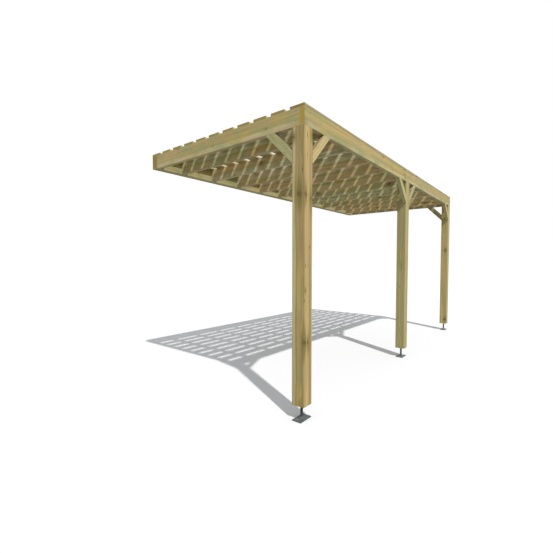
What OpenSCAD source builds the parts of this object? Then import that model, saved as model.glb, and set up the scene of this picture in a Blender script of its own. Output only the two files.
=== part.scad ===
// Wall-mounted timber pergola: a flat slatted roof on three front posts, fixed to a wall at the back.
// The origin is the centre of the wall plate's back face. +X runs along the wall, +Y points into the
// wall and +Z is up.

/* [Roof] */
// Length of the roof along the wall
roof_l = 5040; // [3600:60:6000]
// Depth of the roof from the wall to its front face
roof_d = 2145; // [1800:5:2700]
// Height from the ground to the underside of the beams
clear_h = 2405; // [2000:5:3000]
// Distance from the roof's end to the middle of the first rafter
rafter_inset = 360; // [220:5:600]

/* [Timber sections] */
// Thickness of the beams and the wall plate
beam_t = 45; // [35:1:60]
// Depth of the beams, wall plate and rafters
beam_h = 150; // [140:5:220]
// Thickness of a rafter
rafter_t = 45; // [35:1:60]
// Width of a roof slat
slat_w = 145; // [70:1:160]
// Thickness of a roof slat
slat_t = 20; // [15:1:40]
// Side of a square post
post_s = 120; // [90:1:150]
// Chamfer on the long edges of the beams, rafters and slats
arris_w = 3; // [1:0.5:6]
// Chamfer on the long edges of the posts
post_arris_w = 4; // [1:0.5:10]

/* [Knee braces] */
// Width of a brace across its grain
brace_w = 75; // [45:1:100]
// Thickness of a brace
brace_t = 45; // [25:1:60]
// Distance that a brace reaches along the post and along the beam
brace_leg = 288; // [200:1:500]

/* [Feet] */
// Height from the ground to the underside of a post
foot_h = 125; // [60:1:250]
// Length of a base plate, along the wall
plate_l = 160; // [120:1:220]
// Width of a base plate, across the wall
plate_w = 90; // [70:1:150]
// Thickness of a base plate
plate_t = 8; // [5:0.5:15]
// Diameter of the rod between base plate and post
rod_d = 24; // [16:1:36]
// Depth that the rod reaches into the post
rod_embed = 100; // [60:5:200]
// Play round the rod in the post's bore
rod_play = 0.5; // [0.2:0.1:1.5]
// Diameter of the bolt holes in a base plate
plate_hole_d = 12; // [8:0.5:14]
// Distance from a base plate's edges to the middle of its bolt holes
plate_hole_inset = 15; // [12:1:25]

/* [Wall fixings] */
// Diameter of the bolt holes in the wall plate and back beam
wall_hole_d = 12; // [8:0.5:16]
// Height between the two bolt holes of a wall fixing
wall_hole_gap = 50; // [40:1:60]
// Height of a wall fixing's middle above the middle of the wall plate
wall_hole_rise = 22.5; // [0:0.5:25]

/* [Hidden] */

rafter_count = 10;
slat_count = 11;
wall_fixing_count = 5;
bore_fn = 48;
cut = 10; // how far a cutting shape runs past what it cuts

left_x = -roof_l / 2;
front_y = -roof_d;
beam_z = -beam_h / 2;
roof_z = beam_h / 2;
ground_z = beam_z - clear_h;
post_z = ground_z + foot_h;
post_l = clear_h - foot_h + beam_h;
corner_post_x = left_x + post_s / 2;
post_y = front_y + post_s / 2;
rafter_l = roof_d - 3 * beam_t;
rafter_pitch = (roof_l - 2 * rafter_inset) / (rafter_count - 1);
slat_pitch = (roof_d - slat_w) / (slat_count - 1);
brace_cut = brace_w * sqrt(2);
rod_l = foot_h - plate_t + rod_embed;
wall_fixing_pitch = 2 * rafter_pitch;

beam_color = [0.68, 0.63, 0.43];
rafter_color = [0.55, 0.49, 0.33];
slat_color = [0.62, 0.54, 0.33];
post_color = [0.66, 0.60, 0.38];
brace_color = [0.66, 0.65, 0.46];
steel_color = [0.38, 0.41, 0.41];

// Cross-section of a sawn timber with chamfered edges
module timber_section(w, h, c) {
    polygon([[c, 0], [w - c, 0], [w, c], [w, h - c], [w - c, h], [c, h], [0, h - c], [0, c]]);
}

// Timber that lies along +X, w wide in Y and h high in Z
module timber_x(l, w, h) {
    rotate([90, 0, 90]) linear_extrude(height = l) timber_section(w, h, arris_w);
}

// Timber that lies along +Y, w wide in X and h high in Z
module timber_y(l, w, h) {
    translate([0, l, 0]) rotate([90, 0, 0]) linear_extrude(height = l) timber_section(w, h, arris_w);
}

module front_beam() {
    color(beam_color) translate([left_x, front_y, beam_z]) timber_x(roof_l, beam_t, beam_h);
}

// Board along the wall, with its bolt holes and its back face at y
module wall_board(y) {
    color(beam_color) difference() {
        translate([left_x, y - beam_t, beam_z]) timber_x(roof_l, beam_t, beam_h);
        for (i = [0 : wall_fixing_count - 1], z = [-1, 1] * wall_hole_gap / 2)
            translate([(i - (wall_fixing_count - 1) / 2) * wall_fixing_pitch, y + cut, wall_hole_rise + z])
                rotate([90, 0, 0]) cylinder(h = beam_t + 2 * cut, d = wall_hole_d, $fn = bore_fn);
    }
}

module wall_plate() {
    wall_board(0);
}

// Board in front of the wall plate, which the rafters and side beams end against
module back_beam() {
    wall_board(-beam_t);
}

module side_beam_left() {
    color(beam_color) translate([left_x, front_y + beam_t, beam_z]) timber_y(rafter_l, beam_t, beam_h);
}

module side_beam_right() {
    mirror([1, 0, 0]) side_beam_left();
}

module rafter(i) {
    color(rafter_color)
        translate([left_x + rafter_inset + i * rafter_pitch - rafter_t / 2, front_y + beam_t, beam_z])
            timber_y(rafter_l, rafter_t, beam_h);
}

module slat(i) {
    color(slat_color) translate([left_x, front_y + i * slat_pitch, roof_z])
        timber_x(roof_l, slat_w, slat_t);
}

// Post with its foot's bore, round its own axis, and a tongue that stands behind the front beam
module post_body() {
    difference() {
        translate([-post_s / 2, -post_s / 2, post_z])
            linear_extrude(height = post_l) timber_section(post_s, post_s, post_arris_w);
        translate([-post_s / 2 - cut, -post_s / 2 - cut, beam_z])
            cube([post_s + 2 * cut, beam_t + cut, beam_h + cut]);
        translate([0, 0, post_z - cut])
            cylinder(h = rod_embed + cut, d = rod_d + 2 * rod_play, $fn = bore_fn);
    }
}

module post_left() {
    color(post_color) translate([corner_post_x, post_y, 0]) difference() {
        post_body();
        translate([-post_s / 2 - cut, -post_s / 2 - cut, beam_z])
            cube([beam_t + cut, post_s + 2 * cut, beam_h + cut]);
    }
}

module post_middle() {
    color(post_color) translate([0, post_y, 0]) post_body();
}

module post_right() {
    mirror([1, 0, 0]) post_left();
}

// Side view of a knee brace: the post's face is at 0, and the beam's underside is at 0
module brace_outline() {
    polygon([[0, -brace_leg], [0, brace_cut - brace_leg], [brace_leg - brace_cut, 0], [brace_leg, 0]]);
}

// Brace under the front beam, on the right of a post whose middle is at x
module front_brace(x) {
    color(brace_color) translate([x + post_s / 2, front_y + brace_t, beam_z])
        rotate([90, 0, 0]) linear_extrude(height = brace_t) brace_outline();
}

module brace_left_side() {
    color(brace_color) translate([left_x, front_y + post_s, beam_z])
        rotate([90, 0, 90]) linear_extrude(height = brace_t) brace_outline();
}

module brace_left_front() {
    front_brace(corner_post_x);
}

module brace_middle_left() {
    mirror([1, 0, 0]) front_brace(0);
}

module brace_middle_right() {
    front_brace(0);
}

module brace_right_front() {
    mirror([1, 0, 0]) brace_left_front();
}

module brace_right_side() {
    mirror([1, 0, 0]) brace_left_side();
}

// Base plate under a post whose middle is at x
module foot_plate(x) {
    color(steel_color) translate([x, post_y, ground_z]) difference() {
        translate([-plate_l / 2, -plate_w / 2, 0]) cube([plate_l, plate_w, plate_t]);
        for (sx = [-1, 1], sy = [-1, 1])
            translate([sx * (plate_l / 2 - plate_hole_inset), sy * (plate_w / 2 - plate_hole_inset), -cut])
                cylinder(h = plate_t + 2 * cut, d = plate_hole_d, $fn = bore_fn);
    }
}

// Rod that stands on the base plate and ends at the bottom of the post's bore
module foot_rod(x) {
    color(steel_color) translate([x, post_y, ground_z + plate_t])
        cylinder(h = rod_l, d = rod_d, $fn = bore_fn);
}

front_beam();
wall_plate();
back_beam();
side_beam_left();
side_beam_right();
rafter(0);  // rafter_01
rafter(1);  // rafter_02
rafter(2);  // rafter_03
rafter(3);  // rafter_04
rafter(4);  // rafter_05
rafter(5);  // rafter_06
rafter(6);  // rafter_07
rafter(7);  // rafter_08
rafter(8);  // rafter_09
rafter(9);  // rafter_10
slat(0);  // slat_01
slat(1);  // slat_02
slat(2);  // slat_03
slat(3);  // slat_04
slat(4);  // slat_05
slat(5);  // slat_06
slat(6);  // slat_07
slat(7);  // slat_08
slat(8);  // slat_09
slat(9);  // slat_10
slat(10);  // slat_11
post_left();
post_middle();
post_right();
brace_left_side();
brace_left_front();
brace_middle_left();
brace_middle_right();
brace_right_front();
brace_right_side();
foot_plate(corner_post_x);  // foot_plate_left
foot_plate(0);  // foot_plate_middle
foot_plate(-corner_post_x);  // foot_plate_right
foot_rod(corner_post_x);  // foot_rod_left
foot_rod(0);  // foot_rod_middle
foot_rod(-corner_post_x);  // foot_rod_right
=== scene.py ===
# A timber pergola that leans on a wall: planed, green-tinted softwood on steel feet.
# Units are metres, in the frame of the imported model: X along the wall, Y into the wall, Z up.
import math
import random

import bmesh
import bpy
from mathutils import Matrix, Vector


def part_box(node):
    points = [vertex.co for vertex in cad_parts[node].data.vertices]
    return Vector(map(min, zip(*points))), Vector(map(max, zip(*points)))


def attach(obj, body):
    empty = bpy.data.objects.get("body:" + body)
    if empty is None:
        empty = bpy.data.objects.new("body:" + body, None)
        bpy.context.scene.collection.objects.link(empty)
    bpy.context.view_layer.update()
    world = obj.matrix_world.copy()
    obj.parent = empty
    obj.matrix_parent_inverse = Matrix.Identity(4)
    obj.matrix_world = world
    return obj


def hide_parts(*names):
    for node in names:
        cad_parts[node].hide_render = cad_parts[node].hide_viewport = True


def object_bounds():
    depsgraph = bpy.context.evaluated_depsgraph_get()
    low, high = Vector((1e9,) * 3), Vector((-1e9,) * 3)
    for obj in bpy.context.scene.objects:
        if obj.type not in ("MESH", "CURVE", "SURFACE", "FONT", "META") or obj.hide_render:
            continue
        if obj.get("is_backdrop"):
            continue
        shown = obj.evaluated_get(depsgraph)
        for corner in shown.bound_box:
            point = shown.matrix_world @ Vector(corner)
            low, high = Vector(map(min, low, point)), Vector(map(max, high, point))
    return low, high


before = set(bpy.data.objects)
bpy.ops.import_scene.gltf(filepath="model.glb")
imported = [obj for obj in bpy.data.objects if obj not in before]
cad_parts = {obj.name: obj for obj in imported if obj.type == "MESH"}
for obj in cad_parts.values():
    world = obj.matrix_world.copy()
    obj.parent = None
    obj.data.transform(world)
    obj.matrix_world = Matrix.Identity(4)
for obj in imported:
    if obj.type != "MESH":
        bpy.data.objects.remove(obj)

cadBox = [list(corner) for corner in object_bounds()]
groundZ = cadBox[0][2]


def say(text):
    print("pergola:", text)


def paint(red, green, blue):
    # a screen colour from 0 to 255, as the linear colour that a shader takes
    return tuple((value / 255) ** 2.2 for value in (red, green, blue)) + (1.0,)


def linkOrSet(tree, socket, value):
    if isinstance(value, bpy.types.NodeSocket):
        tree.links.new(value, socket)
    else:
        socket.default_value = value


def addNode(tree, kind, inputs=None, **settings):
    node = tree.nodes.new(kind)
    for name, value in settings.items():
        setattr(node, name, value)
    for key, value in (inputs or {}).items():
        linkOrSet(tree, node.inputs[key], value)
    return node


def maths(tree, operation, first, second=0.0):
    node = addNode(tree, "ShaderNodeMath", {0: first, 1: second}, operation=operation)
    return node.outputs[0]


def plus(tree, first, second):
    return maths(tree, "ADD", first, second)


def minus(tree, first, second):
    return maths(tree, "SUBTRACT", first, second)


def times(tree, first, second):
    return maths(tree, "MULTIPLY", first, second)


def divided(tree, first, second):
    return maths(tree, "DIVIDE", first, second)


def hypotenuse(tree, first, second):
    return maths(tree, "SQRT", plus(tree, times(tree, first, first), times(tree, second, second)))


def vectorMaths(tree, operation, first, second=(0, 0, 0)):
    node = addNode(tree, "ShaderNodeVectorMath", {0: first, 1: second}, operation=operation)
    return node.outputs["Value" if operation == "LENGTH" else "Vector"]


def ramp(tree, value, low, high, start=0.0, end=1.0, smooth=True):
    # start where the value is low, end where it is high, and in between what lies between
    node = addNode(tree, "ShaderNodeMapRange",
                   {"Value": value, "From Min": low, "From Max": high, "To Min": start, "To Max": end})
    node.interpolation_type = "SMOOTHSTEP" if smooth else "LINEAR"
    return node.outputs["Result"]


def mixColour(tree, amount, first, second, blend="MIX"):
    node = addNode(tree, "ShaderNodeMix", {"Factor": amount, 6: first, 7: second},
                   data_type="RGBA", blend_type=blend)
    return node.outputs[2]


def grey(tree, value):
    return addNode(tree, "ShaderNodeCombineColor", {0: value, 1: value, 2: value}).outputs[0]


def noise(tree, vector, scale, detail, roughness, output="Fac"):
    node = addNode(tree, "ShaderNodeTexNoise",
                   {"Vector": vector, "Scale": scale, "Detail": detail, "Roughness": roughness})
    return node.outputs[output]


def newFinish(name):
    material = bpy.data.materials.new(name)
    material.use_nodes = True
    return material, material.node_tree, material.node_tree.nodes["Principled BSDF"]


def addBump(tree, shader, height, strength, distance):
    bump = addNode(tree, "ShaderNodeBump", {"Strength": strength, "Distance": distance, "Height": height})
    linkOrSet(tree, shader.inputs["Normal"], bump.outputs[0])


# What the timber looks like, in metres. Each finish adds its green tint and its profile, which is the log's
# colours from its heart, 0, to its bark, 1.
timberLook = {
    "pinkTint": (188, 158, 116),
    "ochreTint": (194, 172, 98),
    "knotStain": (126, 114, 66),
    "knot": (118, 98, 58),
    "knotHeart": (86, 68, 42),
    "endGrain": (172, 142, 74),
    "endRing": (128, 98, 46),
    "logRadius": 0.11,
    "ringWidth": 0.0046,
    "whorlSpacing": 0.62,
    "whorlScatter": 0.35,
    "knotSize": 0.019,
    "stain": 0.6,
    "streak": 0.14,  # how far streaks, fine streaks, rings and fibres lighten and darken the wood
    "fineStreak": 0.08,
    "ringShade": 0.1,
    "fibreShade": 0.06,
    "pink": 0.35,  # how far streaks and patches tint it
    "ochre": 0.65,
    "green": 0.7,
    "toneTint": 0.3,  # how far a board's own tone tints it, to pink at 0 and to green at 1
    "patchAlong": 2.2,  # patches to the metre, along the grain
    "wander": 0.03,  # how far the log's heart strays
    "knotPush": 0.014,  # how far a knot pushes the rings out
    "ringUneven": 2.4,  # in rings
    "profileUneven": 0.03,
    "smallSpacing": 0.43,  # small knots, against the large ones
    "smallSize": 0.3,
    "stainRagged": 0.9,
    "knotRagged": 0.5,
    "knotCover": 0.7,
    "heartCover": 0.6,
    "endRingCover": 0.8,
    "endCover": 0.9,
    "ringRelief": 0.4,
    "fibreRelief": 0.6,
    "bumpStrength": 0.35,
    "bumpDistance": 0.0009,
    "roughness": 0.72,
    "glossier": 0.08,
    "duller": 0.1,
    "specular": 0.28,
}

# Each pattern's waves to the metre along and across the grain, its detail, roughness and shift.
# Those of the patches along the grain are times patchAlong.
patterns = {
    "wander": (0.9, 5.0, 1.0, 0.5, None),
    "uneven": (0.6, 30.0, 1.0, 0.5, None),
    "streak": (0.5, 42.0, 3.0, 0.6, None),
    "fineStreak": (0.7, 130.0, 2.0, 0.6, None),
    "hueStreak": (0.7, 20.0, 2.0, 0.5, (7.0, 3.0, 9.0)),
    "fibre": (14.0, 900.0, 3.0, 0.6, None),
    "warmPatch": (1.0, 9.0, 3.0, 0.6, None),
    "greenPatch": (0.8, 11.0, 3.0, 0.6, (3.0, 8.0, 1.0)),
}

# Between which of its values a pattern comes in. Push, stain, knot and heart are in radii of the knot.
limits = {
    "hueStreak": (0.4, 0.7),
    "patch": (0.47, 0.66),
    "streak": (0.32, 0.68),
    "fineStreak": (0.34, 0.66),
    "fibre": (0.3, 0.7),
    "fibreGloss": (0.2, 0.8),
    "lateWood": (0.3, 0.86),
    "ringEdge": (0.9, 1.0),
    "push": (0.6, 3.4),
    "stain": (1.3, 3.1),
    "knot": (0.9, 1.5),
    "heart": (0.4, 0.85),
}

whorl = {
    "climb": 0.35,  # how steeply a branch climbs as it grows out
    "grownAt": 0.05,  # how far out from the heart it is fully thick
    "unevenTurn": 0.5,  # how far the branches of a whorl stand off an even spread
    "turnWave": 2.3,
    "unevenHeight": 0.018,  # and above and below each other
    "heightWave": 4.1,
    "smallest": 0.15,  # of the full size
    "smallShare": 0.25,  # the share of knots that are smallest
    "thinnest": 0.0004,
    "knotDrawn": 0.8,  # the less, the longer the knot or its stain along the grain
    "stainDrawn": 0.3,
}


def knotField(tree, grain, spacing, scatter, size, seed, branches):
    # whorls of branches that grow out from the heart of the log; gives how many radii away the nearest is,
    # and the same for the stain that each draws along the grain
    x, y, z = addNode(tree, "ShaderNodeSeparateXYZ", {0: grain}).outputs
    place = plus(tree, divided(tree, x, spacing), seed)
    cells = addNode(tree, "ShaderNodeTexVoronoi", {"W": place, "Scale": 1.0, "Randomness": scatter},
                    voronoi_dimensions="1D")
    chance = addNode(tree, "ShaderNodeSeparateColor", {0: cells.outputs["Color"]}).outputs
    along = times(tree, minus(tree, place, cells.outputs["W"]), spacing)
    nearest, nearestStain = None, None
    for branch in range(branches):
        evenTurn = branch * (2 * math.pi / branches)
        turnStep = evenTurn + whorl["unevenTurn"] * math.sin(branch * whorl["turnWave"] + seed)
        turn = plus(tree, times(tree, chance[0], 2 * math.pi), turnStep)
        cosine, sine = maths(tree, "COSINE", turn), maths(tree, "SINE", turn)
        outward = plus(tree, times(tree, y, cosine), times(tree, z, sine))
        aside = minus(tree, times(tree, z, cosine), times(tree, y, sine))
        climb = minus(tree, along, times(tree, outward, whorl["climb"]))
        heightStep = whorl["unevenHeight"] * math.sin(branch * whorl["heightWave"] + seed)
        climb = times(tree, plus(tree, climb, heightStep), whorl["knotDrawn"])
        apart = hypotenuse(tree, climb, aside)
        grown = ramp(tree, outward, 0.0, whorl["grownAt"])
        full = ramp(tree, chance[1], whorl["smallShare"], 1.0, size * whorl["smallest"], size, smooth=False)
        wide = maths(tree, "MAXIMUM", times(tree, grown, full), whorl["thinnest"])
        ratio = divided(tree, apart, wide)
        drawn = times(tree, climb, whorl["stainDrawn"])
        stain = divided(tree, hypotenuse(tree, drawn, aside), wide)
        nearest = ratio if nearest is None else maths(tree, "MINIMUM", nearest, ratio)
        nearestStain = stain if nearestStain is None else maths(tree, "MINIMUM", nearestStain, stain)
    return nearest, nearestStain


def woodNoise(tree, place, pattern, alongTimes=1.0, output="Fac"):
    # a pattern in the grain's own coordinates, drawn out along the grain
    along, across, detail, roughness, shift = patterns[pattern]
    spread = vectorMaths(tree, "MULTIPLY", place, (along * alongTimes, across, across))
    if shift:
        spread = vectorMaths(tree, "ADD", spread, shift)
    return noise(tree, spread, 1.0, detail, roughness, output)


def timberFinish(name, look):
    material, tree, shader = newFinish(name)

    def tinted(colour, tint, value, low, high, start, end, smooth=True):
        return mixColour(tree, ramp(tree, value, low, high, start, end, smooth), colour, paint(*look[tint]))

    def shadedBy(value, low, high, amount):
        # from amount darker to amount lighter
        return ramp(tree, value, low, high, 1 - amount, 1 + amount, smooth=False)

    grain = addNode(tree, "ShaderNodeAttribute", attribute_name="grain").outputs["Vector"]
    tone, endFace, shade = (addNode(tree, "ShaderNodeAttribute", attribute_name=kept).outputs["Fac"]
                            for kept in ("tone", "endFace", "shade"))

    # the log is never quite straight, so its rings wander along the board
    wander = woodNoise(tree, grain, "wander", output="Color")
    wander = vectorMaths(tree, "SUBTRACT", wander, (0.5, 0.5, 0.5))
    stray = look["wander"]
    bent = vectorMaths(tree, "ADD", grain, vectorMaths(tree, "MULTIPLY", wander, (0.0, stray, stray)))
    spacing, size = look["whorlSpacing"], look["knotSize"]
    largeKnot, largeStain = knotField(tree, bent, spacing, look["whorlScatter"], size, seed=3.7, branches=3)
    smallKnot, smallStain = knotField(tree, bent, spacing * look["smallSpacing"], 1.0,
                                      size * look["smallSize"], seed=11.3, branches=2)

    # growth rings, pushed aside by the knots
    radius = vectorMaths(tree, "LENGTH", vectorMaths(tree, "MULTIPLY", bent, (0.0, 1.0, 1.0)))
    nearKnot = ramp(tree, largeKnot, *limits["push"], 1.0, 0.0)
    pushed = times(tree, nearKnot, look["knotPush"])
    ringPlace = divided(tree, plus(tree, radius, pushed), look["ringWidth"])
    uneven = times(tree, woodNoise(tree, bent, "uneven"), look["ringUneven"])
    ring = maths(tree, "FRACT", plus(tree, ringPlace, uneven))
    lateWood = times(tree, ramp(tree, ring, *limits["lateWood"]),
                     ramp(tree, ring, *limits["ringEdge"], 1.0, 0.0))

    # broad streaks, fine fibres and patches of preservative
    streak = woodNoise(tree, bent, "streak")
    fineStreak = woodNoise(tree, bent, "fineStreak")
    hueStreak = woodNoise(tree, bent, "hueStreak")
    fibre = woodNoise(tree, grain, "fibre")
    warmPatch = woodNoise(tree, grain, "warmPatch", look["patchAlong"])
    greenPatch = woodNoise(tree, grain, "greenPatch", look["patchAlong"])

    # the colour from heart to bark, then the tints over it
    strayed = times(tree, minus(tree, streak, 0.5), look["profileUneven"])
    outward = divided(tree, plus(tree, radius, strayed), look["logRadius"])
    profile = addNode(tree, "ShaderNodeValToRGB", {0: outward})
    stops = profile.color_ramp.elements
    while len(stops) < len(look["profile"]):
        stops.new(0.5)
    for stop, (place, stopColour) in zip(stops, look["profile"]):
        stop.position = place
        stop.color = paint(*stopColour)
    colour = profile.outputs[0]
    colour = tinted(colour, "pinkTint", hueStreak, *limits["hueStreak"], 0.0, look["pink"])
    colour = tinted(colour, "ochreTint", warmPatch, *limits["patch"], 0.0, look["ochre"])
    colour = tinted(colour, "greenTint", greenPatch, *limits["patch"], 0.0, look["green"])
    colour = tinted(colour, "pinkTint", tone, 0.0, 0.5, look["toneTint"], 0.0, smooth=False)
    greenTone = ramp(tree, tone, 0.5, 1.0, 0.0, look["toneTint"], smooth=False)
    colour = mixColour(tree, greenTone, colour, paint(*look["greenTint"]))

    # lighter and darker streaks, rings and fibres
    fibreShade = look["fibreShade"]
    shadeOf = plus(tree, shadedBy(streak, *limits["streak"], look["streak"]),
                   ramp(tree, fibre, *limits["fibre"], -fibreShade, fibreShade, smooth=False))
    shadeOf = times(tree, shadeOf, shadedBy(fineStreak, *limits["fineStreak"], look["fineStreak"]))
    shadeOf = times(tree, shadeOf, shadedBy(lateWood, 1.0, 0.0, look["ringShade"]))
    colour = mixColour(tree, 1.0, colour, grey(tree, shadeOf), "MULTIPLY")

    # knots, each in a dark stain drawn out along the grain
    for knot, stain in ((largeKnot, largeStain), (smallKnot, smallStain)):
        ragged = plus(tree, stain, times(tree, plus(tree, streak, fineStreak), look["stainRagged"]))
        colour = tinted(colour, "knotStain", ragged, *limits["stain"], look["stain"], 0.0)
        edge = plus(tree, knot, times(tree, fineStreak, look["knotRagged"]))
        colour = tinted(colour, "knot", edge, *limits["knot"], look["knotCover"], 0.0)
        colour = tinted(colour, "knotHeart", edge, *limits["heart"], look["heartCover"], 0.0)

    # sawn ends, then the board's shade: its own tone, with painted light and shade on some boards
    endColour = mixColour(tree, times(tree, lateWood, look["endRingCover"]),
                          paint(*look["endGrain"]), paint(*look["endRing"]))
    endColour = mixColour(tree, greenTone, endColour, paint(*look["greenTint"]))
    colour = mixColour(tree, times(tree, endFace, look["endCover"]), colour, endColour)
    colour = mixColour(tree, 1.0, colour, grey(tree, shade), "MULTIPLY")
    linkOrSet(tree, shader.inputs["Base Color"], colour)

    relief = plus(tree, times(tree, lateWood, look["ringRelief"]), times(tree, fibre, look["fibreRelief"]))
    addBump(tree, shader, relief, look["bumpStrength"], look["bumpDistance"])
    glossy, dull = look["roughness"] - look["glossier"], look["roughness"] + look["duller"]
    linkOrSet(tree, shader.inputs["Roughness"],
              ramp(tree, fibre, *limits["fibreGloss"], glossy, dull, smooth=False))
    shader.inputs["Specular IOR Level"].default_value = look["specular"]
    return material


steelSkin = {
    "clouds": 60.0,  # to the metre
    "specks": 900.0,
    "range": (0.3, 0.7),  # between which of a pattern's values it comes in
    "cloudShade": (0.82, 1.12),
    "speckShade": (-0.05, 0.05),
    "roughnessSpread": 0.08,
    "bumpStrength": 0.25,
    "bumpDistance": 0.0004,
}


def steelFinish(name, colour, roughness, metallic):
    material, tree, shader = newFinish(name)
    place = addNode(tree, "ShaderNodeTexCoord").outputs["Object"]
    cloud = noise(tree, place, steelSkin["clouds"], 4.0, 0.6)
    speck = noise(tree, place, steelSkin["specks"], 2.0, 0.5)
    shadeOf = plus(tree, ramp(tree, cloud, *steelSkin["range"], *steelSkin["cloudShade"]),
                   ramp(tree, speck, *steelSkin["range"], *steelSkin["speckShade"]))
    shaded = mixColour(tree, 1.0, paint(*colour), grey(tree, shadeOf), "MULTIPLY")
    linkOrSet(tree, shader.inputs["Base Color"], shaded)
    shader.inputs["Metallic"].default_value = metallic
    glossy, dull = roughness - steelSkin["roughnessSpread"], roughness + steelSkin["roughnessSpread"]
    linkOrSet(tree, shader.inputs["Roughness"], ramp(tree, cloud, *steelSkin["range"], glossy, dull))
    addBump(tree, shader, speck, steelSkin["bumpStrength"], steelSkin["bumpDistance"])
    return material


def asObject(name, mesh):
    thing = bpy.data.objects.new(name, mesh)
    bpy.context.scene.collection.objects.link(thing)
    return thing


def newTree(name, **labels):
    # a Geometry Nodes tree with inputs of each kind; returns the tree, its inputs and its output node
    tree = bpy.data.node_groups.new(name, "GeometryNodeTree")
    tree.is_modifier = True
    tree.interface.new_socket("Geometry", in_out="OUTPUT", socket_type="NodeSocketGeometry")
    for kind, names in labels.items():
        for label in names:
            tree.interface.new_socket(label, in_out="INPUT", socket_type="NodeSocket" + kind)
    return tree, tree.nodes.new("NodeGroupInput").outputs, tree.nodes.new("NodeGroupOutput")


def endTree(tree, out, geometry, finish):
    # every tree ends in real geometry that wears its finish
    real = addNode(tree, "GeometryNodeRealizeInstances", {0: geometry})
    dressed = addNode(tree, "GeometryNodeSetMaterial", {"Geometry": real.outputs[0], "Material": finish})
    tree.links.new(dressed.outputs[0], out.inputs[0])
    return tree


def stored(tree, geometry, name, value, domain="FACE", kind="FLOAT"):
    # keeps a value on the geometry as a named attribute
    node = addNode(tree, "GeometryNodeStoreNamedAttribute",
                   {"Geometry": geometry, "Name": name, "Value": value}, data_type=kind, domain=domain)
    return node.outputs[0]


def modified(thing):
    # the mesh that an object's modifiers make of it
    bpy.context.view_layer.update()
    graph = bpy.context.evaluated_depsgraph_get()
    return bpy.data.meshes.new_from_object(thing.evaluated_get(graph), preserve_all_data_layers=True,
                                           depsgraph=graph)


def grow(name, tree, values, base=None):
    # runs a tree with these values on an object and turns the result into a plain mesh object
    holder = asObject(name + "Holder", base or bpy.data.meshes.new(name + "Seed"))
    modifier = holder.modifiers.new("grow", "NODES")
    modifier.node_group = tree
    identifiers = {item.name: item.identifier for item in tree.interface.items_tree
                   if item.item_type == "SOCKET" and item.in_out == "INPUT"}
    for label, value in values.items():
        modifier[identifiers[label]] = value
    mesh = modified(holder)
    bpy.data.objects.remove(holder)
    mesh.name = name
    mesh.materials.clear()
    mesh.polygons.foreach_set("material_index", [0] * len(mesh.polygons))
    if "Finish" in values:
        mesh.materials.append(values["Finish"])
    return asObject(name, mesh)


endOrTop = 0.6  # a face is an end or a top where it faces that way by more than this


def timberTree():
    tree, given, out = newTree(
        "timber", Int=["Edge Steps"], Vector=["Heart"], Object=["Cutter"], Material=["Finish"],
        Float=["Length", "Width", "Depth", "Edge Radius", "Tone", "Shade", "Painted Top Shade", "Painted End Shade"])
    far = addNode(tree, "ShaderNodeCombineXYZ", {"X": given["Length"]})
    line = addNode(tree, "GeometryNodeCurvePrimitiveLine", {"End": far.outputs[0]})
    section = addNode(tree, "GeometryNodeCurvePrimitiveQuadrilateral",
                      {"Width": given["Width"], "Height": given["Depth"]})
    eased = addNode(tree, "GeometryNodeFilletCurve", {
        "Curve": section.outputs[0], "Count": given["Edge Steps"], "Radius": given["Edge Radius"]},
        mode="POLY")
    body = addNode(tree, "GeometryNodeCurveToMesh",
                   {"Curve": line.outputs[0], "Profile Curve": eased.outputs[0], "Fill Caps": True})
    cutter = addNode(tree, "GeometryNodeObjectInfo", {"Object": given["Cutter"]})
    cutBody = addNode(tree, "GeometryNodeMeshBoolean", {0: body.outputs[0], 1: cutter.outputs["Geometry"]},
                      operation="DIFFERENCE", solver="MANIFOLD")
    place = addNode(tree, "GeometryNodeInputPosition").outputs[0]
    fromHeart = vectorMaths(tree, "SUBTRACT", place, given["Heart"])
    board = stored(tree, cutBody.outputs[0], "grain", fromHeart, "POINT", "FLOAT_VECTOR")
    normal = addNode(tree, "GeometryNodeInputNormal").outputs[0]
    facing = addNode(tree, "ShaderNodeSeparateXYZ", {0: normal}).outputs
    isEnd = maths(tree, "GREATER_THAN", maths(tree, "ABSOLUTE", facing["X"]), endOrTop)
    isTop = maths(tree, "GREATER_THAN", facing["Z"], endOrTop)
    board = stored(tree, board, "endFace", isEnd)
    board = stored(tree, board, "tone", given["Tone"], "POINT")
    # painted shade: faces that look up are darkened by the look's top factor
    paintedTopShade = ramp(tree, isTop, 0.0, 1.0, 1.0, given["Painted Top Shade"], smooth=False)
    # painted shade: sawn ends are darkened by the look's end factor
    paintedEndShade = ramp(tree, isEnd, 0.0, 1.0, 1.0, given["Painted End Shade"], smooth=False)
    shade = times(tree, times(tree, paintedTopShade, paintedEndShade), given["Shade"])
    board = stored(tree, board, "shade", shade)
    return endTree(tree, out, board, given["Finish"])


def scatterTree():
    # puts one template at every vertex, facing the way of the attribute "facing"
    tree, given, out = newTree("scatter", Geometry=["Points"], Object=["Template"], Float=["Spin"],
                               Int=["Seed"], Material=["Finish"])
    facing = addNode(tree, "GeometryNodeInputNamedAttribute", {"Name": "facing"}, data_type="FLOAT_VECTOR")
    turn = addNode(tree, "FunctionNodeAlignRotationToVector", {"Vector": facing.outputs[0]}, axis="Z")
    template = addNode(tree, "GeometryNodeObjectInfo", {"Object": given["Template"]})
    placed = addNode(tree, "GeometryNodeInstanceOnPoints", {
        "Points": given["Points"], "Instance": template.outputs["Geometry"], "Rotation": turn.outputs[0]})
    randomTurn = addNode(tree, "FunctionNodeRandomValue", {"Seed": given["Seed"]}, data_type="FLOAT")
    angle = times(tree, randomTurn.outputs[1], given["Spin"])
    about = addNode(tree, "ShaderNodeCombineXYZ", {"Z": angle})
    spun = addNode(tree, "GeometryNodeRotateInstances", {
        "Instances": placed.outputs[0], "Rotation": about.outputs[0], "Local Space": True})
    return endTree(tree, out, spun.outputs[0], given["Finish"])


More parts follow.
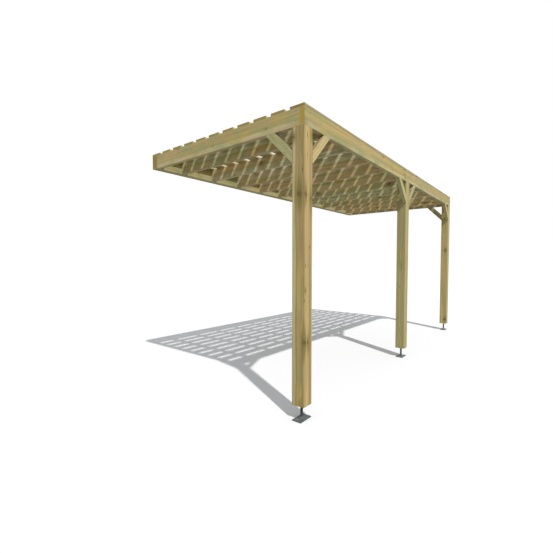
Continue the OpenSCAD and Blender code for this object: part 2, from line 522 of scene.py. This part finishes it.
def meshFrom(name, corners, faces):
    mesh = bpy.data.meshes.new(name)
    mesh.from_pydata([tuple(corner) for corner in corners], [], faces)
    mesh.validate()
    return mesh


def onRing(radius, height, step, sides):
    angle = 2 * math.pi * step / sides
    return radius * math.cos(angle), radius * math.sin(angle), height


def ringFaces(rings, sides):
    # faces that join rings of corners into a solid with flat ends
    faces = []
    for ring in range(rings - 1):
        for side in range(sides):
            a, b = ring * sides + side, ring * sides + (side + 1) % sides
            faces.append((a, b, b + sides, a + sides))
    faces.append(tuple(reversed(range(sides))))
    faces.append(tuple(range((rings - 1) * sides, rings * sides)))
    return faces


def turned(name, profile, sides):
    # a solid turned round Z from (radius, height) pairs
    corners = [onRing(radius, height, side, sides) for radius, height in profile for side in range(sides)]
    return meshFrom(name, corners, ringFaces(len(profile), sides))


def drillAt(place, radius, low, high, sides):
    # a straight drill along the place's own Z, from low to high
    drill = turned("drill", [(radius, low), (radius, high)], sides)
    drill.transform(place)
    return drill


screwSize = {
    "holeRadius": 0.0056,  # countersink at the timber's face
    "holeDepth": 0.0045,
    "holeFlare": 0.0004,  # how much wider it is above the face
    "holeOver": 0.001,
    "holeSides": 16,
    "shankRadius": 0.0024,
    "shankTip": 0.002,
    "shankDepth": 0.001,  # below the countersink
    "headRadius": 0.0046,
    "headDepth": 0.0008,  # how far the head lies below the face
    "headLift": 0.0004,  # and above the countersink's floor
    "headTaper": 0.5,
    "headSides": 12,
    "starRadius": 0.0026,
    "starWaist": 0.72,
    "starDepth": 0.0016,
}


def screwHead(size):
    # countersunk head with a six-pointed recess, standing on Z, its wood face at 0
    sides = size["headSides"]
    top, bottom = -size["headDepth"], size["headLift"] - size["holeDepth"]
    corners = [onRing(size["headRadius"] * size["headTaper"], bottom, side, sides) for side in range(sides)]
    corners += [onRing(size["headRadius"], top, side, sides) for side in range(sides)]
    for height in (top, top - size["starDepth"]):
        for side in range(sides):
            radius = size["starRadius"] * (1.0 if side % 2 else size["starWaist"])
            corners.append(onRing(radius, height, side, sides))
    return meshFrom("screwHead", corners, ringFaces(4, sides))


def screwHole(size):
    floor, wide = -size["holeDepth"], size["holeRadius"]
    return turned("screwHole", [
        (size["shankTip"], floor - size["shankDepth"]), (size["shankRadius"], floor), (wide, 0.0),
        (wide + size["holeFlare"], size["holeOver"])], size["holeSides"])


scatter = scatterTree()
timberShape = timberTree()
headTemplate = asObject("headTemplate", screwHead(screwSize))
holeTemplate = asObject("holeTemplate", screwHole(screwSize))


def pointMesh(name, places):
    # vertices that carry the way they face
    mesh = bpy.data.meshes.new(name)
    mesh.from_pydata([tuple(place) for place, _ in places], [], [])
    facing = mesh.attributes.new("facing", "FLOAT_VECTOR", "POINT")
    for index, (_, way) in enumerate(places):
        facing.data[index].vector = way
    return mesh


def asMesh(name, shape):
    mesh = bpy.data.meshes.new(name)
    shape.to_mesh(mesh)
    shape.free()
    return mesh


def prism(outline, depth, place):
    # a solid whose outline lies in its own XY plane, drawn out along Z from 0 to depth, then put in place
    corners = [place @ Vector((x, y, z)) for z in (0.0, depth) for x, y in outline]
    shape = bmesh.new()
    shape.from_mesh(meshFrom("prism", corners, ringFaces(2, len(outline))))
    bmesh.ops.recalc_face_normals(shape, faces=shape.faces[:])
    return asMesh("prism", shape)


def joined(name, meshes):
    whole = bmesh.new()
    for mesh in meshes:
        whole.from_mesh(mesh)
    return asMesh(name, whole)


def nodeBox(name):
    low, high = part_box(name)
    return Vector(low), Vector(high)


boardClean = {"mergeWithin": 0.00002, "shortestEdge": 0.00001, "flatFacing": 0.99, "sharpAngle": 40}


def cleanBoard(mesh):
    # closes the hair-thin faces that a cut leaves; sides and ends are shaded flat, eased edges smooth
    shape = bmesh.new()
    shape.from_mesh(mesh)
    bmesh.ops.remove_doubles(shape, verts=shape.verts[:], dist=boardClean["mergeWithin"])
    bmesh.ops.dissolve_degenerate(shape, edges=shape.edges[:], dist=boardClean["shortestEdge"])
    for face in shape.faces:
        face.smooth = max(abs(way) for way in face.normal) < boardClean["flatFacing"]
    for edge in shape.edges:
        edge.smooth = edge.calc_face_angle(0.0) < math.radians(boardClean["sharpAngle"])
    shape.to_mesh(mesh)
    shape.free()


# how far from the log's heart a board is sawn, and how far along it, unless its look says
sawnFrom = {"aside": 0.03, "near": 0.03, "far": 0.09, "shift": 90}
# which ways a board's length, width and depth lie, by the axis of its grain
boardWays = {"X": ((1, 0, 0), (0, 1, 0), (0, 0, 1)), "Y": ((0, 1, 0), (-1, 0, 0), (0, 0, 1)),
             "Z": ((0, 0, 1), (1, 0, 0), (0, 1, 0))}
timbers = []


def makeTimber(node, finish, slot, alongAxis, look, screws=(), cuts=(), place=None, size=None):
    # one board in its CAD node's place; alongAxis is the axis of its grain
    if place is None:
        low, high = nodeBox(node)
        ways = boardWays[alongAxis]
        turn = Matrix(ways).transposed().to_4x4()
        size = [abs(span) for span in turn.to_3x3().transposed() @ (high - low)]
        place = Matrix.Translation((low + high) / 2 - Vector(ways[0]) * size[0] / 2) @ turn
    length, width, depth = size
    back = place.inverted()
    parts = []
    if screws:
        points = [(back @ at, back.to_3x3() @ way) for at, way in screws]
        holes = grow(node + "Holes", scatter, {"Template": holeTemplate, "Spin": 0.0, "Seed": 1},
                     pointMesh("holes", points))
        parts.append(holes.data)
        bpy.data.objects.remove(holes)
    for cut in cuts:
        cut.transform(back)
        parts.append(cut)
    cutter = asObject(node + "Cutter", joined(node + "Cutter", parts)) if parts else None
    dice = random.Random(node)
    heart = look.get("heart") or (0.0, dice.uniform(-sawnFrom["aside"], sawnFrom["aside"]),
                                  dice.choice((-1, 1)) * dice.uniform(sawnFrom["near"], sawnFrom["far"]))
    shift = look.get("shift", dice.uniform(0, sawnFrom["shift"]))
    piece = grow(node + "Timber", timberShape, {
        "Length": length, "Width": width, "Depth": depth, "Edge Radius": look["edgeRadius"],
        "Edge Steps": look["edgeSteps"], "Cutter": cutter, "Heart": (-shift, heart[1], heart[2]),
        "Tone": look.get("tone", dice.random()), "Shade": look.get("shade", 1.0),
        "Painted Top Shade": look.get("paintedTopShade", 1.0), "Painted End Shade": look.get("paintedEndShade", 1.0), "Finish": finish})
    if cutter:
        bpy.data.objects.remove(cutter)
    cleanBoard(piece.data)
    piece.data.transform(place)
    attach(piece, "root")
    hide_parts(node)
    timbers.append(piece)


boardLook = {"edgeRadius": 0.003, "edgeSteps": 3}
# painted shade: the sawn ends of the wall plate and back beam are painted darker, as shade near the wall
backLook = {**boardLook, "tone": 0.9, "shade": 0.95, "paintedEndShade": 0.72}
postLook = {"edgeRadius": 0.004, "edgeSteps": 4}
braceLook = {**boardLook, "paintedTopShade": 0.5}  # painted shade: the side that faces up is painted darker, standing in for shade
fixings = {
    "plateScrewRise": 0.045,  # above and below the middle of the wall plate
    "plateScrewBays": (-4.85, -3, -1, 1, 3, 4.85),  # from its middle, in rafter bays
    "tongueScrewRise": 0.035,  # above and below the middle of the middle post's tongue
    "tongueScrewAside": 0.03,  # and beside it
    "tongueScrew": 0.0825,  # from the roof's corner to the middle of a post's tongue
    "frontScrewRise": 0.037,  # above the middle of the front beam, into that tongue
    "endScrew": 0.026,  # from the roof's corner to the screw into the side beam's end
    "endScrewDrop": 0.032,
    "sideScrewBack": 0.004,  # from the middle of the tongue
    "sideScrewRises": (-0.032, 0.047),
    "slatScrewInset": 0.03,  # from a slat's edge
    "braceScrewReach": 0.055,  # from a brace's sharp end
    "braceScrewAside": 0.22,  # from a brace's middle line, in its own thickness
}

frontLow, frontHigh = nodeBox("front_beam")
wallLow, wallHigh = nodeBox("wall_plate")
beamThick = frontHigh.y - frontLow.y
beamMiddle = (frontLow.z + frontHigh.z) / 2
roofUnder = frontLow.z
crossNames = ["side_beam_left"] + ["rafter_%02d" % n for n in range(1, 11)] + ["side_beam_right"]
slatNames = ["slat_%02d" % n for n in range(1, 12)]
crossMiddle = [sum(nodeBox(name), Vector()).x / 2 for name in crossNames]
pitch = crossMiddle[2] - crossMiddle[1]
screwsOn = {}


def addScrew(node, at, way):
    screwsOn.setdefault(node, []).append((Vector(at), Vector(way).normalized()))


for side in (-1, 1):
    cornerX = side * frontHigh.x
    sideName = "side_beam_left" if side < 0 else "side_beam_right"
    tongueX, endX = cornerX - side * fixings["tongueScrew"], cornerX - side * fixings["endScrew"]
    addScrew("front_beam", (tongueX, frontLow.y, beamMiddle + fixings["frontScrewRise"]), (0, -1, 0))
    addScrew("front_beam", (endX, frontLow.y, beamMiddle - fixings["endScrewDrop"]), (0, -1, 0))
    sideY = frontLow.y + fixings["tongueScrew"] + fixings["sideScrewBack"]
    for rise in fixings["sideScrewRises"]:
        addScrew(sideName, (cornerX, sideY, beamMiddle + rise), (side, 0, 0))
tongueBack = nodeBox("post_middle")[1].y
for way in (-1, 1):
    tongueX, tongueZ = way * fixings["tongueScrewAside"], beamMiddle + way * fixings["tongueScrewRise"]
    addScrew("post_middle", (tongueX, tongueBack, tongueZ), (0, 1, 0))
    for bays in fixings["plateScrewBays"]:
        plateZ = beamMiddle + way * fixings["plateScrewRise"]
        addScrew("wall_plate", (bays * pitch, wallHigh.y, plateZ), (0, 1, 0))
for name in slatNames:
    low, high = nodeBox(name)
    for x in crossMiddle:
        for y in (low.y + fixings["slatScrewInset"], high.y - fixings["slatScrewInset"]):
            addScrew(name, (x, y, high.z), (0, 0, 1))

upward, toWall = Vector((0, 0, 1)), Vector((0, 1, 0))
leftward, rightward = Vector((-1, 0, 0)), Vector((1, 0, 0))
# the way that each brace leans out from its post, and how it is sawn and shaded
braces = {
    "brace_left_side": {"way": toWall, "heart": (0, 0.09, 0.0), "shift": 188.7, "tone": 1.0, "shade": 0.96},
    "brace_left_front": {"way": rightward, "heart": (0, 0.02, 0.0), "shift": 189.3, "tone": 0.4},
    "brace_middle_left": {"way": leftward, "heart": (0, 0.08, 0.02), "shift": 64.05, "tone": 0.5},
    "brace_middle_right": {"way": rightward, "heart": (0, -0.085, 0.0), "shift": 67.0, "tone": 0.3},
    "brace_right_front": {"way": leftward, "heart": (0, 0.075, -0.01), "shift": 66.1, "tone": 0.4},
    # painted shade: the right side brace is painted darker, as it stands in the roof's shade
    "brace_right_side": {"way": toWall, "heart": (0, -0.08, 0.01), "shift": 81.5, "tone": 0.4,
                         "shade": 0.85},
}
braceCut = {"wide": 0.075, "over": 0.5, "cutterDepth": 0.4}


def braceFoot(name):
    # the brace's sharp lower end on its post, and how far the brace reaches up and out from it
    low, high = nodeBox(name)
    leg = high.z - low.z
    foot = (low + high) / 2 - braces[name]["way"] * leg / 2
    foot.z = low.z
    return foot, leg


def braceFrame(name):
    # local X climbs the brace's long edge, and local Z points at the corner that the brace holds
    outward = braces[name]["way"]
    foot, leg = braceFoot(name)
    low, high = nodeBox(name)
    along = (outward + upward).normalized()
    inward = (upward - outward).normalized()
    across = inward.cross(along)
    turn = Matrix((along, across, inward)).transposed().to_4x4()
    size = (leg * math.sqrt(2), abs((high - low).dot(across)), braceCut["wide"])
    return Matrix.Translation(foot + inward * braceCut["wide"] / 2) @ turn, size


for name in braces:
    place, (length, thick, wide) = braceFrame(name)
    aside = thick * fixings["braceScrewAside"]
    for x in (fixings["braceScrewReach"], length - fixings["braceScrewReach"]):
        for y in (-aside, aside):
            addScrew(name, place @ Vector((x, y, -wide / 2)), place.to_3x3() @ Vector((0, 0, -1)))

beamFinish = timberFinish("beamTimber", {
    **timberLook,
    "profile": [(0.0, (176, 155, 108)), (0.34, (178, 161, 109)), (0.6, (168, 157, 104)),
                (0.72, (192, 183, 138)), (1.0, (197, 189, 143))],
    "pinkTint": (190, 160, 126), "ochreTint": (192, 168, 100), "greenTint": (158, 161, 112),
    "endGrain": (198, 170, 84), "pink": 0.7, "patchAlong": 6.5, "streak": 0.12, "ringShade": 0.09})
# the roof's timbers are paler than the beams: partly their own colour and partly painted light, which
# brightens their sunlit streaks and shaded sides under the roof
roofLook = {
    **timberLook,
    "profile": [(0.0, (201, 179, 137)), (0.34, (213, 193, 145)), (0.6, (186, 178, 124)),
                (0.72, (216, 210, 172)), (1.0, (212, 210, 176))],
    "greenTint": (168, 177, 132), "pinkTint": (216, 186, 150), "endGrain": (170, 148, 86),
    "pink": 0.65, "ochre": 0.7, "green": 0.72, "patchAlong": 6.5}
rafterFinish = timberFinish("rafterTimber", roofLook)
slatFinish = timberFinish("slatTimber", {
    **roofLook,
    "profile": [(0.0, (182, 160, 116)), (0.34, (192, 174, 124)), (0.6, (168, 160, 108)),
                (0.72, (196, 188, 148)), (1.0, (190, 186, 150))],
    "greenTint": (152, 160, 116), "pinkTint": (194, 166, 130), "patchAlong": 5.0})
postWood = {
    **timberLook,
    "profile": [(0.0, (200, 178, 122)), (0.3, (192, 170, 115)), (0.4, (150, 131, 86)),
                (0.55, (164, 147, 96)), (0.63, (150, 138, 83)), (0.69, (190, 183, 140)),
                (1.0, (183, 176, 135))],
    "greenTint": (158, 160, 102), "knotSize": 0.03, "stain": 0.8, "streak": 0.17, "fineStreak": 0.1,
    "pink": 0.5, "ochre": 0.3, "green": 0.42, "patchAlong": 3.2}
postFinish = timberFinish("postTimber", postWood)
calmPostFinish = timberFinish("calmPostTimber", {
    **postWood,
    "profile": [(0.0, (196, 176, 122)), (0.5, (192, 172, 120)), (0.75, (183, 172, 124)),
                (1.0, (179, 171, 127))],
    "knotSize": 0.02, "stain": 0.6, "streak": 0.12})
braceFinish = timberFinish("braceTimber", {
    **timberLook,
    "profile": [(0.0, (196, 175, 124)), (0.34, (200, 181, 130)), (0.6, (182, 172, 118)),
                (0.72, (200, 194, 152)), (1.0, (202, 196, 154))],
    "greenTint": (158, 167, 122), "pinkTint": (200, 174, 132), "ochreTint": (202, 182, 118), "green": 0.5})
say("finishes are mixed")

# frame and roof
wallFixing = {
    "bays": (-4, -2, 0, 2, 4),  # from the middle of the wall plate, in rafter bays
    "rise": 0.0225,  # above the middle of its height
    "gap": 0.05,  # between the two bolts
    "hole": {"radius": 0.006, "low": -0.01, "high": beamThick + 0.01, "sides": 24},
}
fixingPlaces = [(bays * pitch, beamMiddle + wallFixing["rise"] + half * wallFixing["gap"] / 2)
                for bays in wallFixing["bays"] for half in (-1, 1)]


def wallHoles(back):
    # the bolt holes through a board whose back face is at this y
    turn = Matrix.Rotation(math.pi / 2, 4, "X")
    return [drillAt(Matrix.Translation((x, back, z)) @ turn, **wallFixing["hole"]) for x, z in fixingPlaces]


makeTimber("front_beam", beamFinish, "beam_timber", "X",
           {**boardLook, "heart": (0, 0.02, 0.03), "shift": 86.0, "tone": 0.6, "shade": 0.96},
           screwsOn["front_beam"])
makeTimber("wall_plate", beamFinish, "beam_timber", "X", backLook, screwsOn["wall_plate"],
           wallHoles(wallHigh.y))
makeTimber("back_beam", beamFinish, "beam_timber", "X", {**backLook, "heart": (0, 0.03, 0.07)},
           cuts=wallHoles(wallLow.y))
for name, shift in (("side_beam_left", 264.0), ("side_beam_right", 63.05)):
    makeTimber(name, beamFinish, "beam_timber", "Y",
               {**boardLook, "heart": (0, 0.0, 0.04), "shift": shift, "tone": 0.55}, screwsOn[name])
rafterPaintedLight = {"first": 0.97, "step": 0.024}  # painted light: each rafter is painted a little lighter than the one on its left
for index, name in enumerate(crossNames[1:-1]):
    shade = rafterPaintedLight["first"] + rafterPaintedLight["step"] * index
    makeTimber(name, rafterFinish, "rafter_timber", "Y", {**boardLook, "shade": shade})
for name in slatNames:
    look = {**boardLook, "tone": 0.3, "shade": 0.78} if name == slatNames[0] else boardLook
    makeTimber(name, slatFinish, "slat_timber", "X", look, screwsOn[name])
say("roof of %d timbers" % len(timbers))

# posts with their rebates and bores
postCut = {"wide": 0.12, "over": 0.03, "bore": {"radius": 0.0125, "low": -0.01, "high": 0.1, "sides": 32}}
posts = {
    "post_left": {"heart": (0, -0.02, -0.039), "shift": 343.96, "tone": 0.3},
    "post_middle": {"heart": (0, 0.035, 0.0), "shift": 65.11, "tone": 0.75, "shade": 0.89},
    "post_right": {"heart": (0, -0.035, 0.03), "shift": 331.27, "tone": 0.4, "shade": 0.97},
}
for name in posts:
    low, high = nodeBox(name)
    over = postCut["over"]
    front, back = low.y - over, low.y + beamThick
    if name == "post_middle":
        left, right = low.x - over, high.x + over
        outline = [(left, front), (right, front), (right, back), (left, back)]
    else:
        side = -1 if name == "post_left" else 1
        edge = low.x if side < 0 else high.x
        outer, notch = edge + side * over, edge - side * beamThick
        inner = edge - side * (postCut["wide"] + over)
        outline = [(outer, front), (inner, front), (inner, back), (notch, back), (notch, high.y + over),
                   (outer, high.y + over)]
    rebate = prism(outline, high.z - roofUnder + over, Matrix.Translation((0, 0, roofUnder)))
    middle = (low + high) / 2
    bore = drillAt(Matrix.Translation((middle.x, middle.y, low.z)), **postCut["bore"])
    finish = postFinish if name == "post_left" else calmPostFinish
    makeTimber(name, finish, "post_timber", "Z", {**postLook, **posts[name]}, screwsOn.get(name, ()),
               [rebate, bore])

for name in braces:
    outward = braces[name]["way"]
    foot, leg = braceFoot(name)
    over, depth = braceCut["over"], braceCut["cutterDepth"]
    far = leg + over
    outline = [(-over, -over), (0, -over), (0, leg), (far, leg), (far, far), (-over, far)]
    turn = Matrix((outward, upward, outward.cross(upward))).transposed().to_4x4()
    ends = prism(outline, depth, Matrix.Translation(foot) @ turn @ Matrix.Translation((0, 0, -depth / 2)))
    makeTimber(name, braceFinish, "brace_timber", "X", {**braceLook, **braces[name]}, screwsOn[name],
               [ends], *braceFrame(name))
say("posts and braces stand, %d timbers" % len(timbers))

# fasteners
steel = steelFinish("footSteel", (84, 92, 91), 0.5, 0.1)
# painted shade: the rods are darker than the plates, standing in for the shade under the posts
rodSteelPaintedShade = steelFinish("rodSteelPaintedShade", (62, 68, 68), 0.5, 0.1)
zinc = steelFinish("screwZinc", (142, 138, 128), 0.42, 0.5)
allScrews = [screw for screws in screwsOn.values() for screw in screws]
screwPiece = grow("timberScrews", scatter,
                  {"Template": headTemplate, "Spin": 2 * math.pi, "Seed": 5, "Finish": zinc},
                  pointMesh("screwPoints", allScrews))
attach(screwPiece, "root")
say("%d screws are driven" % len(allScrews))

# wall bolts, each a washer and a hexagon head
boltSize = {
    "shankRadius": 0.005,
    "shankDepth": 0.003,
    "tipDepth": 0.004,
    "tipTaper": 0.5,
    "washerRadius": 0.012,
    "washerThick": 0.0022,
    "washerSides": 24,
    "holeShare": 0.8,  # of the head's radius, where the washer ends under it
    "headRadius": 0.0098,
    "headHigh": 0.0064,
    "headBevel": 0.0012,
    "headCrown": 0.86,
}


def boltHead(size):
    shank, rim, thick = size["shankRadius"], size["washerRadius"], size["washerThick"]
    top, wide = thick + size["headHigh"], size["headRadius"]
    washer = turned("washer", [(shank * size["tipTaper"], -size["tipDepth"]), (shank, -size["shankDepth"]),
                               (shank, 0.0), (rim, 0.0), (rim, thick), (wide * size["holeShare"], thick)],
                    size["washerSides"])
    crown = wide * size["headCrown"]
    head = turned("head", [(wide, thick), (wide, top - size["headBevel"]), (crown, top)], 6)
    return joined("boltHead", [washer, head])


boltTemplate = asObject("boltTemplate", boltHead(boltSize))
backFront = nodeBox("back_beam")[0].y
boltPlaces = [(Vector((x, backFront, z)), Vector((0, -1, 0))) for x, z in fixingPlaces]
boltPiece = grow("wallBolts", scatter, {"Template": boltTemplate, "Spin": 1.0, "Seed": 8, "Finish": zinc},
                 pointMesh("boltPoints", boltPlaces))
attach(boltPiece, "root")

# feet
rodLook = {"pitch": 0.003, "threadDepth": 0.0008, "sides": 24, "stepsPerTurn": 6}
plateLook = {"edge": 0.0012, "edgeSteps": 2, "holeInset": 0.015,
             "hole": {"radius": 0.006, "low": -0.01, "high": 0.03, "sides": 32}}
weldLook = {
    "reach": 0.011,  # out over the plate
    "climb": 0.02,  # up the rod
    "intoRod": 0.002,
    "around": 96,
    "up": 8,
    "ripples": 14,
    "rippleDepth": 0.025,  # of its size
    "sharpAngle": 50,
}


def rodTree():
    tree, given, out = newTree("threadedRod", Float=["Radius", "Length", "Pitch", "Thread Depth"],
                               Int=["Sides", "Segments"], Material=["Finish"])
    rod = addNode(tree, "GeometryNodeMeshCylinder", {
        "Vertices": given["Sides"], "Side Segments": given["Segments"], "Radius": given["Radius"],
        "Depth": given["Length"]})
    place = addNode(tree, "GeometryNodeInputPosition").outputs[0]
    x, y, z = addNode(tree, "ShaderNodeSeparateXYZ", {0: place}).outputs
    angle = divided(tree, maths(tree, "ARCTAN2", y, x), 2 * math.pi)
    phase = maths(tree, "FRACT", plus(tree, divided(tree, z, given["Pitch"]), angle))
    wave = maths(tree, "ABSOLUTE", minus(tree, times(tree, phase, 2.0), 1.0))
    depth = divided(tree, times(tree, wave, given["Thread Depth"]), given["Radius"])
    inward = vectorMaths(tree, "MULTIPLY", place, (-1, -1, 0))
    sink = addNode(tree, "ShaderNodeVectorMath", {0: inward, "Scale": depth}, operation="SCALE").outputs[0]
    cut = addNode(tree, "GeometryNodeSetPosition", {"Geometry": rod.outputs[0], "Offset": sink})
    return endTree(tree, out, cut.outputs[0], given["Finish"])


def footPlate(low, high):
    middle = (low + high) / 2
    shape = bmesh.new()
    place = Matrix.Translation(middle) @ Matrix.Diagonal((*(high - low), 1))
    bmesh.ops.create_cube(shape, size=1.0, matrix=place)
    bmesh.ops.bevel(shape, geom=shape.edges[:], offset=plateLook["edge"], segments=plateLook["edgeSteps"],
                    affect="EDGES", profile=0.5)
    return asMesh("plate", shape)


def plateHoles(low, high):
    middle = (low + high) / 2
    aside, ahead = ((span / 2 - plateLook["holeInset"]) for span in (high - low).xy)
    places = [(middle.x + sx * aside, middle.y + sy * ahead, low.z) for sx in (-1, 1) for sy in (-1, 1)]
    holes = [drillAt(Matrix.Translation(place), **plateLook["hole"]) for place in places]
    return joined("plateHoles", holes)


def weldBead(radius):
    # a softly rippled, hollow ring where the rod meets the plate
    around, up, inside = weldLook["around"], weldLook["up"], radius - weldLook["intoRod"]
    corners, faces = [], []
    for i in range(around):
        swell = 1.0 + weldLook["rippleDepth"] * math.sin(2 * math.pi * i / around * weldLook["ripples"])
        reach, climb = swell * weldLook["reach"], swell * weldLook["climb"]
        for j in range(up):
            turn = 0.5 * math.pi * j / (up - 1)
            out, rise = reach * (1 - math.sin(turn)), climb * (1 - math.cos(turn))
            corners.append(onRing(radius + out, rise, i, around))
        corners.append(onRing(inside, climb, i, around))
        corners.append(onRing(inside, 0.0, i, around))
    ring = up + 2
    for i in range(around):
        here, there = i * ring, (i + 1) % around * ring
        for j in range(ring):
            nextUp = (j + 1) % ring
            faces.append((here + j, there + j, there + nextUp, here + nextUp))
    mesh = meshFrom("weld", corners, faces)
    mesh.polygons.foreach_set("use_smooth", [True] * len(mesh.polygons))
    mesh.set_sharp_from_angle(angle=math.radians(weldLook["sharpAngle"]))
    return mesh


rodShape = rodTree()
for place in ("left", "middle", "right"):
    low, high = nodeBox("foot_plate_" + place)
    plate = asObject("footPlate" + place.title(), footPlate(low, high))
    drill = asObject("drill", plateHoles(low, high))
    cutting = plate.modifiers.new("holes", "BOOLEAN")
    cutting.object = drill
    cutting.operation = "DIFFERENCE"
    cutting.solver = "EXACT"
    drilled = modified(plate)
    plate.modifiers.clear()
    plate.data = drilled
    bpy.data.objects.remove(drill)
    plate.data.materials.append(steel)
    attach(plate, "root")
    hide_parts("foot_plate_" + place)

    rodLow, rodHigh = nodeBox("foot_rod_" + place)
    rodRadius, rodLength = (rodHigh.x - rodLow.x) / 2, rodHigh.z - rodLow.z
    rod = grow("footRod" + place.title(), rodShape, {
        "Radius": rodRadius, "Length": rodLength, "Sides": rodLook["sides"], "Pitch": rodLook["pitch"],
        "Segments": round(rodLength / rodLook["pitch"] * rodLook["stepsPerTurn"]),
        "Thread Depth": rodLook["threadDepth"], "Finish": rodSteelPaintedShade})
    rod.data.transform(Matrix.Translation((rodLow + rodHigh) / 2))
    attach(rod, "root")
    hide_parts("foot_rod_" + place)

    weld = asObject("footWeld" + place.title(), weldBead(rodRadius))
    middle = (low + high) / 2
    weld.data.transform(Matrix.Translation((middle.x, middle.y, high.z)))
    weld.data.materials.append(steel)
    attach(weld, "root")
say("feet are welded")

for template in (headTemplate, holeTemplate, boltTemplate):
    bpy.data.objects.remove(template)

# stage: floor, sky, sun and camera
stageLook = {
    "floorHalf": 60.0,
    "floorColour": (136, 134, 126),
    "floorRoughness": 0.9,
    "floorSeen": (227, 228, 231),  # what the camera sees; the colour above lights the wood
    "skyColour": (0.97, 0.985, 1.0, 1.0),
    "skyStrength": 0.62,
    "skySeen": (1.0, 1.0, 1.0, 1.0),
    "sunColour": (1.0, 0.985, 0.955),
    "sunStrength": 3.0,
    "sunWidth": 1.2,
    "sunWay": (0.323, 0.632, -1.0),
}


def seenDirectly(tree):
    # 1 for the camera's own rays and those that metal or glass sends on
    rays = addNode(tree, "ShaderNodeLightPath").outputs
    sentOn = maths(tree, "MAXIMUM", rays["Is Glossy Ray"], rays["Is Transmission Ray"])
    return maths(tree, "MAXIMUM", rays["Is Camera Ray"], sentOn)


half = stageLook["floorHalf"]
floorCorners = [(x, y, groundZ) for x, y in ((-half, -half), (half, -half), (half, half), (-half, half))]
floor = asObject("floor", meshFrom("floor", floorCorners, [(0, 1, 2, 3)]))
floorFinish, floorTree, floorShader = newFinish("floorPaint")
floorShader.inputs["Roughness"].default_value = stageLook["floorRoughness"]
floorShader.inputs["Specular IOR Level"].default_value = 0.0
floorColour = mixColour(floorTree, seenDirectly(floorTree), paint(*stageLook["floorColour"]),
                        paint(*stageLook["floorSeen"]))
linkOrSet(floorTree, floorShader.inputs["Base Color"], floorColour)
floor.data.materials.append(floorFinish)
floor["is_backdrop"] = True

world = bpy.data.worlds.new("sky")
bpy.context.scene.world = world
world.use_nodes = True
skyTree = world.node_tree
skyTree.nodes.clear()
seen = seenDirectly(skyTree)
dim = addNode(skyTree, "ShaderNodeBackground",
              {"Color": stageLook["skyColour"], "Strength": stageLook["skyStrength"]})
bright = addNode(skyTree, "ShaderNodeBackground", {"Color": stageLook["skySeen"], "Strength": 1.0})
mixed = addNode(skyTree, "ShaderNodeMixShader", {0: seen, 1: dim.outputs[0], 2: bright.outputs[0]})
addNode(skyTree, "ShaderNodeOutputWorld", {"Surface": mixed.outputs[0]})

sun = asObject("sun", bpy.data.lights.new("sun", "SUN"))
sun.data.energy = stageLook["sunStrength"]
sun.data.angle = math.radians(stageLook["sunWidth"])
sun.data.color = stageLook["sunColour"]
sun.rotation_euler = Vector(stageLook["sunWay"]).to_track_quat("-Z", "Y").to_euler()

# the eye stands to the left of the roof's front left corner, in front of it
eye = {"aside": 2.287, "inFront": 1.539, "height": 1.315, "turn": 51.46, "tilt": -2.37, "lens": 22.30,
       "sensor": 36.0, "farthest": 400.0}
camera = asObject("camera", bpy.data.cameras.new("camera"))
camera.data.lens = eye["lens"]
camera.data.sensor_width = eye["sensor"]
camera.data.clip_end = eye["farthest"]
eyePlace = (frontLow.x - eye["aside"], frontLow.y - eye["inFront"], groundZ + eye["height"])
camera.matrix_world = (Matrix.Translation(eyePlace) @ Matrix.Rotation(math.radians(-eye["turn"]), 4, "Z")
                       @ Matrix.Rotation(math.radians(90 + eye["tilt"]), 4, "X"))
bpy.context.scene.camera = camera
bpy.context.scene.view_settings.view_transform = "Standard"
say("stage is set")

visualBox = [list(corner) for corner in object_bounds()]
say("box of the CAD %s, box of the scene %s" % (cadBox, visualBox))
